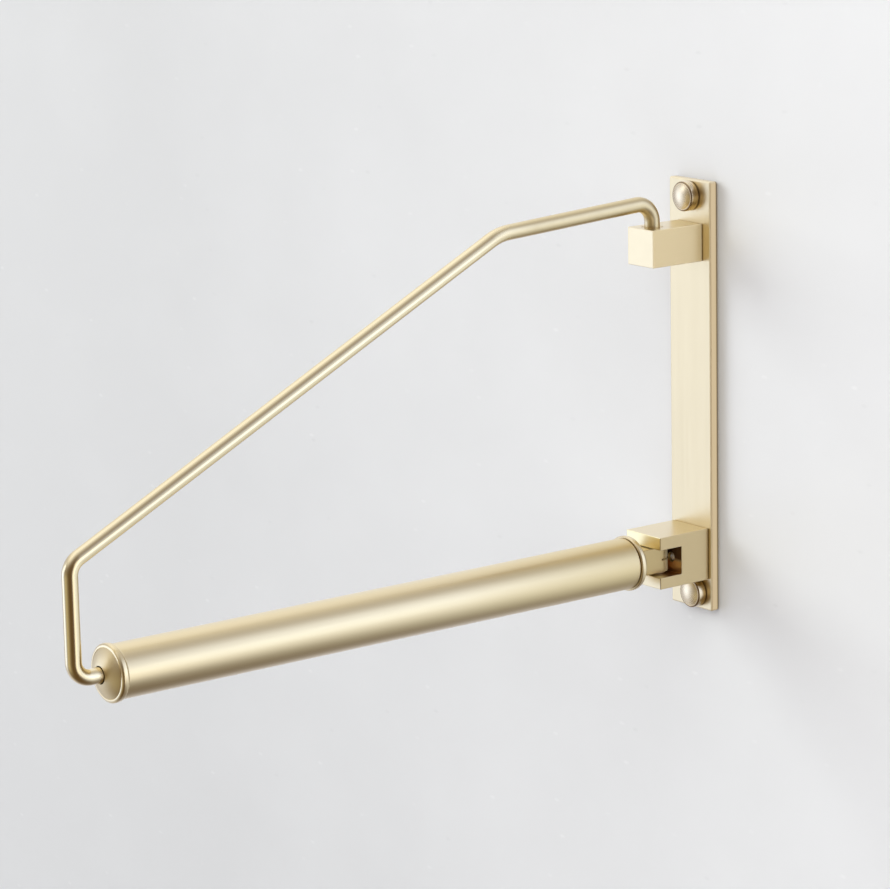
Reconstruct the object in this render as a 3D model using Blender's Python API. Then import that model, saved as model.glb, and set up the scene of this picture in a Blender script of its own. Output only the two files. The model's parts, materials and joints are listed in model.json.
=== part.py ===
"""Swivel wall clothes rail: a rail braced by a bent rod swings on two blocks of a wall plate.

The origin is the middle of the plate's back face. +X runs to the right along the wall, +Y goes into
the wall and +Z is up. The arm has its own frame: its origin is where the swivel axis crosses the
middle line of the rail.
"""
import math

import bmesh
import bpy
from mathutils import Matrix, Vector

MM = 0.001

# Fits shared by all pieces
SEAT_GAP = 0.2 * MM
SLIDE_GAP = 0.2 * MM
TURN_GAP = 0.3 * MM
EDGE_EASE = 0.4 * MM

# Wall plate
PLATE_WIDTH = 32.0 * MM
PLATE_HEIGHT = 228.0 * MM
PLATE_THICKNESS = 5.5 * MM
PLATE_EDGE = 0.9 * MM

# Swivel axis, out from the plate's front
AXIS_REACH = 25.5 * MM

# Upper block and its bush
UPPER_WIDTH = 20.0 * MM
UPPER_HEIGHT = 19.6 * MM
UPPER_FRONT_WALL = 8.0 * MM
UPPER_FLOOR = 3.4 * MM
BUSH_WALL = 1.2 * MM
BUSH_RECESS = 0.1 * MM

# Lower clevis, its slot, the pivot pin and the pieces around it
CLEVIS_WIDTH = 27.2 * MM
CLEVIS_HEIGHT = 27.6 * MM
CLEVIS_FRONT_WALL = 7.7 * MM
SLOT_CLEARANCE = 0.35 * MM
PIN_RADIUS = 2.5 * MM
PIN_GRIP = 3.2 * MM
JAW_BUSH_WALL = 1.0 * MM
JAW_BUSH_LENGTH = 3.6 * MM
WASHER_RADIUS = 5.6 * MM
WASHER_THICKNESS = 0.5 * MM
PLUG_LENGTH = 1.8 * MM

# Tongue that swings in the clevis
TONGUE_WIDTH = 13.5 * MM
TONGUE_HEIGHT = 13.6 * MM
SLIT_HEIGHT = 0.8 * MM
SLIT_PAST_AXIS = 0.8 * MM

# Screws that hold the two blocks to the plate, a pair for each
UPPER_SCREW_RADIUS = 2.0 * MM
UPPER_SCREW_HEAD_RADIUS = 3.5 * MM
UPPER_SCREW_SPREAD = 5.0 * MM
UPPER_SCREW_GRIP = 12.0 * MM
CLEVIS_SCREW_RADIUS = 2.5 * MM
CLEVIS_SCREW_HEAD_RADIUS = 4.2 * MM
CLEVIS_SCREW_SPREAD = 5.0 * MM
SCREW_HEAD_HEIGHT = 2.4 * MM
SCREW_TIP_DOME = 0.9 * MM

# Wall screws, the threaded rings under their heads and the domed caps over them
WALL_SCREW_RADIUS = 2.2 * MM
WALL_SCREW_HEAD_RADIUS = 4.0 * MM
WALL_SCREW_HEAD_HEIGHT = 2.0 * MM
LOWER_SCREW_OFFSET = 4.2 * MM
CAP_RADIUS = 7.8 * MM
CAP_HEIGHT = 5.8 * MM
CAP_WALL = 1.0 * MM
CAP_ROOF = 1.5 * MM
CAP_EDGE = 1.0 * MM
CAP_CROWN = 0.5 * MM
CAP_RING_THICKNESS = 1.4 * MM
UPPER_CAP_TO_END = 0.7 * MM
UPPER_CAP_TO_BLOCK = 5.9 * MM
LOWER_CAP_TO_END = 1.0 * MM
LOWER_CAP_TO_CLEVIS = 0.4 * MM

# Rail tube
TUBE_RADIUS = 13.5 * MM
TUBE_WALL = 1.5 * MM
TUBE_LENGTH = 315.0 * MM

# End caps of the rail
FLANGE_GAP = 17.0 * MM
FLANGE_THICKNESS = 4.0 * MM
BEAD_RADIUS = 14.5 * MM
BEAD_NECK_RADIUS = 13.0 * MM
LIP_RADIUS = 12.8 * MM
LIP_HEIGHT = 0.5 * MM
SPIGOT_LENGTH = 10.0 * MM
SPIGOT_BORE_RADIUS = 9.5 * MM
WEB_THICKNESS = 6.0 * MM
DOME_RISE = 4.4 * MM
ROD_HOLE_GAP = 0.75 * MM

# Bolt that holds the tongue to the inner cap
BOLT_RADIUS = 3.0 * MM
BOLT_HEAD_RADIUS = 5.0 * MM
BOLT_HEAD_HEIGHT = 6.0 * MM
BOLT_GRIP = 10.5 * MM
LOCK_WASHER_RADIUS = 5.8 * MM
LOCK_WASHER_THICKNESS = 1.4 * MM

# Brace rod, the socket that takes its lower end and the pin across them
ROD_RADIUS = 4.0 * MM
BRACE_RISE = 13.2 * MM
KNEE_OUT = 100.5 * MM
KNEE_DROP = 5.7 * MM
BRACE_STANDOFF = 18.0 * MM
SHOULDER_HEIGHT = 56.0 * MM
TOP_BEND = 10.0 * MM
KNEE_BEND = 30.0 * MM
SHOULDER_BEND = 9.0 * MM
FOOT_BEND = 9.0 * MM
SOCKET_LENGTH = 20.0 * MM
SOCKET_SETBACK = 1.0 * MM
CROSS_PIN_RADIUS = 1.5 * MM
CROSS_PIN_SHORT = 0.6 * MM

# Facets
RAIL_STEPS = 32
SMALL_STEPS = 24
ROD_SIDES = 16
BEND_STEPS = 7
ARC_STEPS = 5
BEAD_STEPS = 8
NOSE_STEPS = 16
SMOOTH_ANGLE = math.radians(35)
BEVEL_ANGLE = math.radians(40)
BEVEL_STEPS = 2
MERGE_DISTANCE = 0.001 * MM

# Places worked out from the driving dimensions, in the plate's frame
AXIS_Y = -(PLATE_THICKNESS + AXIS_REACH)
SEAT_Y = -(PLATE_THICKNESS + SEAT_GAP)
UPPER_SCREW_Z = PLATE_HEIGHT / 2 - UPPER_CAP_TO_END - CAP_RADIUS
LOWER_SCREW_Z = LOWER_CAP_TO_END + CAP_RADIUS - PLATE_HEIGHT / 2
WALL_SCREWS = (("upper", 0.0, UPPER_SCREW_Z), ("lower", LOWER_SCREW_OFFSET, LOWER_SCREW_Z))
UPPER_FRONT_Y = AXIS_Y - UPPER_FRONT_WALL
UPPER_TOP_Z = UPPER_SCREW_Z - CAP_RADIUS - UPPER_CAP_TO_BLOCK
UPPER_BOTTOM_Z = UPPER_TOP_Z - UPPER_HEIGHT
UPPER_MIDDLE_Z = UPPER_TOP_Z - UPPER_HEIGHT / 2
BUSH_BORE_RADIUS = ROD_RADIUS + TURN_GAP
BUSH_OUTER_RADIUS = BUSH_BORE_RADIUS + BUSH_WALL
CLEVIS_FRONT_Y = AXIS_Y - CLEVIS_FRONT_WALL
CLEVIS_BOTTOM_Z = LOWER_SCREW_Z + CAP_RADIUS + LOWER_CAP_TO_CLEVIS
CLEVIS_TOP_Z = CLEVIS_BOTTOM_Z + CLEVIS_HEIGHT
RAIL_Z = CLEVIS_BOTTOM_Z + CLEVIS_HEIGHT / 2
SLOT_BACK_Y = AXIS_Y + TONGUE_WIDTH / 2 + SLOT_CLEARANCE
SLOT_TOP_Z = RAIL_Z + TONGUE_HEIGHT / 2 + TURN_GAP
SLOT_BOTTOM_Z = RAIL_Z - TONGUE_HEIGHT / 2 - WASHER_THICKNESS - 2 * SEAT_GAP
JAW_BORE_RADIUS = PIN_RADIUS + TURN_GAP
JAW_BUSH_RADIUS = JAW_BORE_RADIUS + JAW_BUSH_WALL

# Places along the rail, as distances out from the swivel axis
TONGUE_END = FLANGE_GAP - SEAT_GAP
TUBE_START = FLANGE_GAP + FLANGE_THICKNESS
TUBE_END = TUBE_START + TUBE_LENGTH
LIP_PLANE = TUBE_END + FLANGE_THICKNESS
SPIGOT_RADIUS = TUBE_RADIUS - TUBE_WALL - SLIDE_GAP
SOCKET_OUTER = TUBE_END - SPIGOT_LENGTH - SOCKET_SETBACK
SOCKET_INNER = SOCKET_OUTER - SOCKET_LENGTH
BRACE_OUT = LIP_PLANE + BRACE_STANDOFF
BRACE_TOP = UPPER_TOP_Z + BRACE_RISE - RAIL_Z
STUB_BOTTOM = UPPER_BOTTOM_Z + UPPER_FLOOR + SEAT_GAP - RAIL_Z

# Turned pieces are modelled along +Z, and this turn sends their +Z to -Y, out from the wall
OUT_FROM_WALL = (math.pi / 2, 0.0, 0.0)

# Finishes: colour, roughness and metallic value
FINISHES = {
    "satin_brass": ((0.72, 0.58, 0.33, 1.0), 0.34, 1.0),
    "aged_nickel": ((0.60, 0.51, 0.39, 1.0), 0.28, 1.0),
    "steel": ((0.56, 0.56, 0.55, 1.0), 0.30, 1.0),
    "bronze": ((0.52, 0.36, 0.19, 1.0), 0.45, 1.0),
}


def clear_scene():
    for obj in list(bpy.data.objects):
        bpy.data.objects.remove(obj, do_unlink=True)


def add_finish(obj, kind):
    colour, roughness, metallic = FINISHES[kind]
    material = bpy.data.materials.new(obj.name + "_" + kind)
    material.use_nodes = True
    shader = material.node_tree.nodes["Principled BSDF"]
    shader.inputs["Base Color"].default_value = colour
    shader.inputs["Roughness"].default_value = roughness
    shader.inputs["Metallic"].default_value = metallic
    material.diffuse_color = colour
    obj.data.materials.append(material)


def add_object(name, bm, place=(0.0, 0.0, 0.0), turn=(0.0, 0.0, 0.0), parent=None):
    """Make an object from a bmesh, at a place in its parent's frame."""
    bmesh.ops.recalc_face_normals(bm, faces=bm.faces)
    mesh = bpy.data.meshes.new(name)
    bm.to_mesh(mesh)
    bm.free()
    obj = bpy.data.objects.new(name, mesh)
    bpy.context.collection.objects.link(obj)
    obj.location = place
    obj.rotation_euler = turn
    obj.parent = parent
    return obj


def add_piece(name, bm, kind, place=(0.0, 0.0, 0.0), turn=(0.0, 0.0, 0.0), parent=None):
    """A sub-part: an object with its finish, shaded smooth between its sharp edges."""
    obj = add_object(name, bm, place, turn, parent)
    add_finish(obj, kind)
    obj.data.shade_smooth()
    obj.data.set_sharp_from_angle(angle=SMOOTH_ANGLE)
    return obj


def ease_edges(obj, width):
    bevel = obj.modifiers.new("eased_edges", "BEVEL")
    bevel.width = width
    bevel.segments = BEVEL_STEPS
    bevel.limit_method = "ANGLE"
    bevel.angle_limit = BEVEL_ANGLE


def cut(target, bm, place=(0.0, 0.0, 0.0), turn=(0.0, 0.0, 0.0)):
    """Take the shape of a bmesh out of a piece."""
    name = "%s_cut_%d" % (target.name, len(target.modifiers))
    cutter = add_object(name, bm, place, turn, target.parent)
    cutter.hide_render = True
    cutter.display_type = "WIRE"
    boolean = target.modifiers.new(name, "BOOLEAN")
    boolean.operation = "DIFFERENCE"
    boolean.solver = "EXACT"
    boolean.object = cutter


def block(low, high):
    """A box between two corners."""
    bm = bmesh.new()
    bmesh.ops.create_cube(bm, size=1.0)
    low = Vector(low)
    high = Vector(high)
    size = high - low
    shape = Matrix.Translation((low + high) / 2) @ Matrix.Diagonal((size.x, size.y, size.z, 1.0))
    bmesh.ops.transform(bm, matrix=shape, verts=bm.verts)
    return bm


def turned(profile, steps=SMALL_STEPS, closed=False):
    """Spin a profile of (radius, height) points about Z. A closed profile makes a ring."""
    bm = bmesh.new()
    points = [bm.verts.new((radius, 0.0, height)) for radius, height in profile]
    edges = [bm.edges.new(pair) for pair in zip(points, points[1:])]
    if closed:
        edges.append(bm.edges.new((points[-1], points[0])))
    bmesh.ops.spin(bm, geom=points + edges, cent=(0, 0, 0), axis=(0, 0, 1), angle=2 * math.pi, steps=steps,
                   use_merge=True)
    bmesh.ops.remove_doubles(bm, verts=bm.verts, dist=MERGE_DISTANCE)
    return bm


def cylinder(radius, low, high, steps=SMALL_STEPS):
    return turned([(0.0, low), (radius, low), (radius, high), (0.0, high)], steps)


def sleeve(inner, outer, low, high, steps=SMALL_STEPS):
    return turned([(inner, low), (outer, low), (outer, high), (inner, high)], steps, closed=True)


def prism(outline, along, length):
    """Extrude a flat outline of 3-D points along a direction."""
    bm = bmesh.new()
    face = bm.faces.new([bm.verts.new(point) for point in outline])
    side = bmesh.ops.extrude_face_region(bm, geom=[face], use_keep_orig=True)
    moved = [item for item in side["geom"] if isinstance(item, bmesh.types.BMVert)]
    bmesh.ops.translate(bm, verts=moved, vec=Vector(along) * length)
    return bm


def arc(middle, radius, start, end, steps):
    """Points on a circle in a flat profile, from one angle to another."""
    angles = [start + (end - start) * step / steps for step in range(steps + 1)]
    return [(middle[0] + radius * math.cos(a), middle[1] + radius * math.sin(a)) for a in angles]


def dome_height(radius, edge_radius, rise):
    """Height over its edge of a spherical dome, at a distance from its middle."""
    sphere = (edge_radius ** 2 + rise ** 2) / (2 * rise)
    return math.sqrt(sphere ** 2 - radius ** 2) - (sphere - rise)


def dome(edge_radius, rise, from_radius, to_radius, base):
    """Profile points over a spherical dome, from one radius to another."""
    radii = [from_radius + (to_radius - from_radius) * step / ARC_STEPS for step in range(ARC_STEPS + 1)]
    return [(radius, base + dome_height(radius, edge_radius, rise)) for radius in radii]


def screw(name, profile, place):
    add_piece(name, turned(profile), "steel", place, OUT_FROM_WALL)


def make_plate():
    low = (-PLATE_WIDTH / 2, -PLATE_THICKNESS, -PLATE_HEIGHT / 2)
    high = (PLATE_WIDTH / 2, 0.0, PLATE_HEIGHT / 2)
    plate = add_piece("wall_plate", block(low, high), "satin_brass")
    ease_edges(plate, PLATE_EDGE)
    past = PLATE_THICKNESS
    for _, x, z in WALL_SCREWS:
        hole = cylinder(WALL_SCREW_RADIUS + SLIDE_GAP, -past, PLATE_THICKNESS + past)
        cut(plate, hole, (x, 0.0, z), OUT_FROM_WALL)
    rows = ((UPPER_SCREW_SPREAD, UPPER_SCREW_RADIUS, UPPER_SCREW_HEAD_RADIUS, UPPER_MIDDLE_Z),
            (CLEVIS_SCREW_SPREAD, CLEVIS_SCREW_RADIUS, CLEVIS_SCREW_HEAD_RADIUS, RAIL_Z))
    shoulder = SCREW_HEAD_HEIGHT + 2 * SEAT_GAP
    for spread, radius, head_radius, z in rows:
        wide = head_radius + SLIDE_GAP
        narrow = radius + SLIDE_GAP
        for side in (-1, 1):
            hole = turned([(0.0, -past), (wide, -past), (wide, shoulder), (narrow, shoulder),
                           (narrow, PLATE_THICKNESS + past), (0.0, PLATE_THICKNESS + past)])
            cut(plate, hole, (side * spread, 0.0, z), OUT_FROM_WALL)


def make_upper_block():
    low = (-UPPER_WIDTH / 2, UPPER_FRONT_Y, UPPER_BOTTOM_Z)
    high = (UPPER_WIDTH / 2, SEAT_Y, UPPER_TOP_Z)
    body = add_piece("upper_block", block(low, high), "satin_brass")
    ease_edges(body, EDGE_EASE)
    floor = UPPER_BOTTOM_Z + UPPER_FLOOR
    bore = cylinder(BUSH_OUTER_RADIUS + SLIDE_GAP, floor, UPPER_TOP_Z + UPPER_HEIGHT)
    cut(body, bore, (0.0, AXIS_Y, 0.0))
    bush = sleeve(BUSH_BORE_RADIUS, BUSH_OUTER_RADIUS, floor + SEAT_GAP, UPPER_TOP_Z - BUSH_RECESS)
    add_piece("upper_bush", bush, "bronze", (0.0, AXIS_Y, 0.0))
    head_top = SEAT_GAP + SCREW_HEAD_HEIGHT
    tip = PLATE_THICKNESS + UPPER_SCREW_GRIP
    profile = [(0.0, SEAT_GAP), (UPPER_SCREW_HEAD_RADIUS, SEAT_GAP), (UPPER_SCREW_HEAD_RADIUS, head_top),
               (UPPER_SCREW_RADIUS, head_top), (UPPER_SCREW_RADIUS, tip), (0.0, tip)]
    for number, side in ((1, -1), (2, 1)):
        place = (side * UPPER_SCREW_SPREAD, 0.0, UPPER_MIDDLE_Z)
        hole = cylinder(UPPER_SCREW_RADIUS + SLIDE_GAP, 0.0, tip + SEAT_GAP)
        cut(body, hole, place, OUT_FROM_WALL)
        screw("upper_block_screw_%d" % number, profile, place)


def make_clevis():
    outline = [(SEAT_Y, CLEVIS_BOTTOM_Z), (CLEVIS_FRONT_Y, CLEVIS_BOTTOM_Z), (CLEVIS_FRONT_Y, SLOT_BOTTOM_Z),
               (SLOT_BACK_Y, SLOT_BOTTOM_Z), (SLOT_BACK_Y, SLOT_TOP_Z), (CLEVIS_FRONT_Y, SLOT_TOP_Z),
               (CLEVIS_FRONT_Y, CLEVIS_TOP_Z), (SEAT_Y, CLEVIS_TOP_Z)]
    left = -CLEVIS_WIDTH / 2
    shape = prism([(left, y, z) for y, z in outline], (1, 0, 0), CLEVIS_WIDTH)
    body = add_piece("lower_clevis", shape, "satin_brass")
    ease_edges(body, EDGE_EASE)
    jaw_hole = JAW_BUSH_RADIUS + SLIDE_GAP
    bore_top = SLOT_TOP_Z + JAW_BUSH_LENGTH + 2 * SEAT_GAP
    cut(body, cylinder(jaw_hole, CLEVIS_BOTTOM_Z - CLEVIS_HEIGHT, bore_top), (0.0, AXIS_Y, 0.0))
    head_top = SEAT_GAP + SCREW_HEAD_HEIGHT
    tip = -SLOT_BACK_Y - SEAT_GAP
    profile = [(0.0, SEAT_GAP), (CLEVIS_SCREW_HEAD_RADIUS, SEAT_GAP), (CLEVIS_SCREW_HEAD_RADIUS, head_top),
               (CLEVIS_SCREW_RADIUS, head_top)]
    profile += dome(CLEVIS_SCREW_RADIUS, SCREW_TIP_DOME, CLEVIS_SCREW_RADIUS, 0.0, tip - SCREW_TIP_DOME)
    for number, side in ((1, -1), (2, 1)):
        place = (side * CLEVIS_SCREW_SPREAD, 0.0, RAIL_Z)
        hole = cylinder(CLEVIS_SCREW_RADIUS + SLIDE_GAP, 0.0, tip + CLEVIS_FRONT_WALL)
        cut(body, hole, place, OUT_FROM_WALL)
        screw("clevis_screw_%d" % number, profile, place)


def make_pivot_bearings():
    """Bushes in the two jaws, the washer that the tongue turns on and the plug under the pin."""
    place = (0.0, AXIS_Y, 0.0)
    upper_low = SLOT_TOP_Z + SEAT_GAP
    lower_low = SLOT_BOTTOM_Z - SEAT_GAP - JAW_BUSH_LENGTH
    for jaw, low in (("upper", upper_low), ("lower", lower_low)):
        bush = sleeve(JAW_BORE_RADIUS, JAW_BUSH_RADIUS, low, low + JAW_BUSH_LENGTH)
        add_piece(jaw + "_jaw_bush", bush, "bronze", place)
    washer_bottom = SLOT_BOTTOM_Z + SEAT_GAP
    washer = sleeve(JAW_BORE_RADIUS, WASHER_RADIUS, washer_bottom, washer_bottom + WASHER_THICKNESS)
    add_piece("thrust_washer", washer, "bronze", place)
    plug_low = CLEVIS_BOTTOM_Z + SEAT_GAP
    plug = cylinder(JAW_BUSH_RADIUS, plug_low, plug_low + PLUG_LENGTH)
    add_piece("pin_plug", plug, "steel", place)


def make_wall_screws():
    ring_top = SEAT_GAP + CAP_RING_THICKNESS
    head_bottom = ring_top + SEAT_GAP
    head_top = head_bottom + WALL_SCREW_HEAD_HEIGHT
    shank_end = SEAT_GAP - PLATE_THICKNESS
    cavity = CAP_RADIUS - CAP_WALL
    cavity_top = CAP_HEIGHT - CAP_CROWN - CAP_ROOF
    face_radius = CAP_RADIUS - CAP_EDGE
    edge_middle = (face_radius, CAP_HEIGHT - CAP_CROWN - CAP_EDGE)
    profile = [(0.0, shank_end), (WALL_SCREW_RADIUS, shank_end), (WALL_SCREW_RADIUS, head_bottom),
               (WALL_SCREW_HEAD_RADIUS, head_bottom), (WALL_SCREW_HEAD_RADIUS, head_top), (0.0, head_top)]
    shell = [(cavity, SEAT_GAP), (CAP_RADIUS, SEAT_GAP)]
    shell += arc(edge_middle, CAP_EDGE, 0.0, math.pi / 2, ARC_STEPS)
    shell += dome(face_radius, CAP_CROWN, face_radius, 0.0, CAP_HEIGHT - CAP_CROWN)[1:]
    shell += [(0.0, cavity_top), (cavity, cavity_top), (cavity, SEAT_GAP)]
    for end, x, z in WALL_SCREWS:
        place = (x, -PLATE_THICKNESS, z)
        screw(end + "_wall_screw", profile, place)
        ring = sleeve(WALL_SCREW_RADIUS + SLIDE_GAP, cavity - SLIDE_GAP, SEAT_GAP, ring_top)
        add_piece(end + "_cap_ring", ring, "satin_brass", place, OUT_FROM_WALL)
        add_piece(end + "_screw_cap", turned(shell), "aged_nickel", place, OUT_FROM_WALL)


def make_tongue(arm):
    half = TONGUE_WIDTH / 2
    nose = arc((0.0, 0.0), half, 0.0, math.pi, NOSE_STEPS)
    outline = [(half, -TONGUE_END)] + nose + [(-half, -TONGUE_END)]
    bottom = -TONGUE_HEIGHT / 2
    shape = prism([(x, y, bottom) for x, y in outline], (0, 0, 1), TONGUE_HEIGHT)
    tongue = add_piece("swivel_tongue", shape, "satin_brass", parent=arm)
    cut(tongue, cylinder(PIN_RADIUS + SLIDE_GAP, -TONGUE_HEIGHT, TONGUE_HEIGHT))
    slit_low = (-TONGUE_WIDTH, SLIT_PAST_AXIS, -SLIT_HEIGHT / 2)
    cut(tongue, block(slit_low, (TONGUE_WIDTH, TONGUE_WIDTH, SLIT_HEIGHT / 2)))
    bolt_hole = cylinder(BOLT_RADIUS + SLIDE_GAP, TONGUE_END - BOLT_GRIP - SEAT_GAP, TONGUE_END + FLANGE_GAP)
    cut(tongue, bolt_hole, turn=OUT_FROM_WALL)
    low = SLOT_BOTTOM_Z - PIN_GRIP - RAIL_Z
    high = SLOT_TOP_Z + PIN_GRIP - RAIL_Z
    add_piece("pivot_pin", cylinder(PIN_RADIUS, low, high), "steel", parent=arm)


def bead(side, face):
    """Profile points of a cap's flange, from its lip to the neck beside the tube.

    face is the plane of the lip, and side is 1 where the cap faces away from the swivel axis.
    """
    half = (FLANGE_THICKNESS - LIP_HEIGHT - 2 * SEAT_GAP) / 2
    middle = LIP_HEIGHT + half
    swell = BEAD_RADIUS - BEAD_NECK_RADIUS
    points = [(LIP_RADIUS, 0.0), (LIP_RADIUS, LIP_HEIGHT)]
    for step in range(1, BEAD_STEPS):
        angle = math.pi * step / BEAD_STEPS
        points.append((BEAD_NECK_RADIUS + swell * math.sin(angle), middle - half * math.cos(angle)))
    points.append((BEAD_NECK_RADIUS, LIP_HEIGHT + 2 * half))
    points.append((BEAD_NECK_RADIUS, FLANGE_THICKNESS - SEAT_GAP))
    return [(radius, face - side * depth) for radius, depth in points]


def make_rail(arm):
    tube = sleeve(TUBE_RADIUS - TUBE_WALL, TUBE_RADIUS, TUBE_START, TUBE_END, RAIL_STEPS)
    add_piece("rail_tube", tube, "satin_brass", turn=OUT_FROM_WALL, parent=arm)

    bolt_hole = BOLT_RADIUS + SLIDE_GAP
    spigot_end = TUBE_START + SPIGOT_LENGTH
    web = FLANGE_GAP + WEB_THICKNESS
    inner = [(bolt_hole, FLANGE_GAP)] + bead(-1, FLANGE_GAP)
    inner += [(SPIGOT_RADIUS, TUBE_START - SEAT_GAP), (SPIGOT_RADIUS, spigot_end),
              (SPIGOT_BORE_RADIUS, spigot_end), (SPIGOT_BORE_RADIUS, web), (bolt_hole, web)]
    shape = turned(inner, RAIL_STEPS, closed=True)
    add_piece("inner_end_cap", shape, "satin_brass", turn=OUT_FROM_WALL, parent=arm)

    rod_hole = ROD_RADIUS + ROD_HOLE_GAP
    face_radius = LIP_RADIUS - LIP_HEIGHT
    outer = dome(face_radius, DOME_RISE, rod_hole, face_radius, LIP_PLANE) + bead(1, LIP_PLANE)
    outer += [(SPIGOT_RADIUS, TUBE_END + SEAT_GAP), (SPIGOT_RADIUS, TUBE_END - SPIGOT_LENGTH),
              (rod_hole, TUBE_END - SPIGOT_LENGTH)]
    shape = turned(outer, RAIL_STEPS, closed=True)
    add_piece("outer_end_cap", shape, "satin_brass", turn=OUT_FROM_WALL, parent=arm)

    washer_low = web + SEAT_GAP
    washer_high = washer_low + LOCK_WASHER_THICKNESS
    washer = sleeve(bolt_hole, LOCK_WASHER_RADIUS, washer_low, washer_high)
    add_piece("lock_washer", washer, "steel", turn=OUT_FROM_WALL, parent=arm)
    head_low = washer_high + SEAT_GAP
    head_high = head_low + BOLT_HEAD_HEIGHT
    tip = TONGUE_END - BOLT_GRIP
    bolt = turned([(0.0, tip), (BOLT_RADIUS, tip), (BOLT_RADIUS, head_low), (BOLT_HEAD_RADIUS, head_low),
                   (BOLT_HEAD_RADIUS, head_high), (0.0, head_high)])
    add_piece("tongue_bolt", bolt, "steel", turn=OUT_FROM_WALL, parent=arm)


def bent_rod(corners, bends):
    """Bend a round rod in the YZ plane: straight runs are extruded, and corners are spun about their bends.

    corners are (y, z) points from end to end, and bends are the bend radii at the corners between.
    """
    points = [Vector((0.0, y, z)) for y, z in corners]
    ways = [(end - start).normalized() for start, end in zip(points, points[1:])]
    turns = [before.angle(after) for before, after in zip(ways, ways[1:])]
    trims = [0.0] + [radius * math.tan(turn / 2) for radius, turn in zip(bends, turns)] + [0.0]
    across = Vector((1.0, 0.0, 0.0))
    bm = bmesh.new()
    stand = Matrix.Translation(points[0]) @ ways[0].to_track_quat("Z", "X").to_matrix().to_4x4()
    bmesh.ops.create_circle(bm, cap_ends=False, radius=ROD_RADIUS, segments=ROD_SIDES, matrix=stand)
    ring = list(bm.edges)
    bm.faces.new(list(bm.verts))
    for run, way in enumerate(ways):
        length = (points[run + 1] - points[run]).length - trims[run] - trims[run + 1]
        grown = bmesh.ops.extrude_edge_only(bm, edges=ring)["geom"]
        moved = [item for item in grown if isinstance(item, bmesh.types.BMVert)]
        bmesh.ops.translate(bm, verts=moved, vec=way * length)
        new_edges = [item for item in grown if isinstance(item, bmesh.types.BMEdge)]
        ring = [edge for edge in new_edges if set(edge.verts) <= set(moved)]
        if run < len(turns):
            bend_middle = points[run + 1] - way * trims[run + 1] + across.cross(way) * bends[run]
            spun = bmesh.ops.spin(bm, geom=moved + ring, cent=bend_middle, axis=across, angle=turns[run],
                                  steps=BEND_STEPS)["geom_last"]
            moved = [item for item in spun if isinstance(item, bmesh.types.BMVert)]
            ring = [item for item in spun if isinstance(item, bmesh.types.BMEdge)]
    bmesh.ops.contextual_create(bm, geom=ring)
    bmesh.ops.remove_doubles(bm, verts=bm.verts, dist=MERGE_DISTANCE)
    return bm


def make_brace(arm):
    rod_end = -(SOCKET_INNER + SEAT_GAP)
    corners = [(0.0, STUB_BOTTOM), (0.0, BRACE_TOP), (-KNEE_OUT, BRACE_TOP - KNEE_DROP),
               (-BRACE_OUT, SHOULDER_HEIGHT), (-BRACE_OUT, 0.0), (rod_end, 0.0)]
    bends = [TOP_BEND, KNEE_BEND, SHOULDER_BEND, FOOT_BEND]
    rod = add_piece("brace_rod", bent_rod(corners, bends), "satin_brass", parent=arm)
    shape = sleeve(ROD_RADIUS + SLIDE_GAP, SPIGOT_RADIUS, SOCKET_INNER, SOCKET_OUTER, RAIL_STEPS)
    socket = add_piece("rod_socket", shape, "satin_brass", turn=OUT_FROM_WALL, parent=arm)
    pin_place = (0.0, -(SOCKET_INNER + SOCKET_OUTER) / 2, 0.0)
    pin_half = SPIGOT_RADIUS - CROSS_PIN_SHORT
    for piece in (rod, socket):
        cut(piece, cylinder(CROSS_PIN_RADIUS + SLIDE_GAP, -TUBE_RADIUS, TUBE_RADIUS), pin_place)
    add_piece("cross_pin", cylinder(CROSS_PIN_RADIUS, -pin_half, pin_half), "steel", pin_place, parent=arm)


def main():
    clear_scene()
    make_plate()
    make_upper_block()
    make_clevis()
    make_pivot_bearings()
    make_wall_screws()
    arm = bpy.data.objects.new("swivel_axis", None)
    arm.location = (0.0, AXIS_Y, RAIL_Z)
    bpy.context.collection.objects.link(arm)
    make_tongue(arm)
    make_rail(arm)
    make_brace(arm)


main()
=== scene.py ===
"""Looks of the swivel wall clothes rail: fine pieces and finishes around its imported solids."""
import json
import math

import bmesh
import bpy
from mathutils import Matrix, Vector


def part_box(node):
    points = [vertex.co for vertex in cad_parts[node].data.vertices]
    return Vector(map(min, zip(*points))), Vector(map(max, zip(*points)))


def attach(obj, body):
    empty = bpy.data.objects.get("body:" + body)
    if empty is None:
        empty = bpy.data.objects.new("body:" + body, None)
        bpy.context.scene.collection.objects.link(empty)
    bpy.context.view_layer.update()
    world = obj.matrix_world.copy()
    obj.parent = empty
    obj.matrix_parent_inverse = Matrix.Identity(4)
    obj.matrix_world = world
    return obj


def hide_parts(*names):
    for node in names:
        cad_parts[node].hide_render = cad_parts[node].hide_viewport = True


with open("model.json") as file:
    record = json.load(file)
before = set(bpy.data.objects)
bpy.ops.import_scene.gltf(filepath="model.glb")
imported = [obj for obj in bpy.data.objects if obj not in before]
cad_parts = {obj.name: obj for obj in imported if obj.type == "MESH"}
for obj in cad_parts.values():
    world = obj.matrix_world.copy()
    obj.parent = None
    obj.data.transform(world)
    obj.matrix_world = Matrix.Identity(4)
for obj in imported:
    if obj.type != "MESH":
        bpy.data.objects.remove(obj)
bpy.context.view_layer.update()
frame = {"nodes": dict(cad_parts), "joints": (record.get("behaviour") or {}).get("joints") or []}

MM = 0.001

# Directions in the rail's frame: the wall is the plane Y = 0 and the arm points to -Y
RIGHT = Vector((1.0, 0.0, 0.0))
OUT = Vector((0.0, -1.0, 0.0))
UP = Vector((0.0, 0.0, 1.0))
SWIVEL = Vector(frame["joints"][0]["pos_m"])
BRACKET = "wall_bracket"
ARM = "swing_arm"

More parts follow.
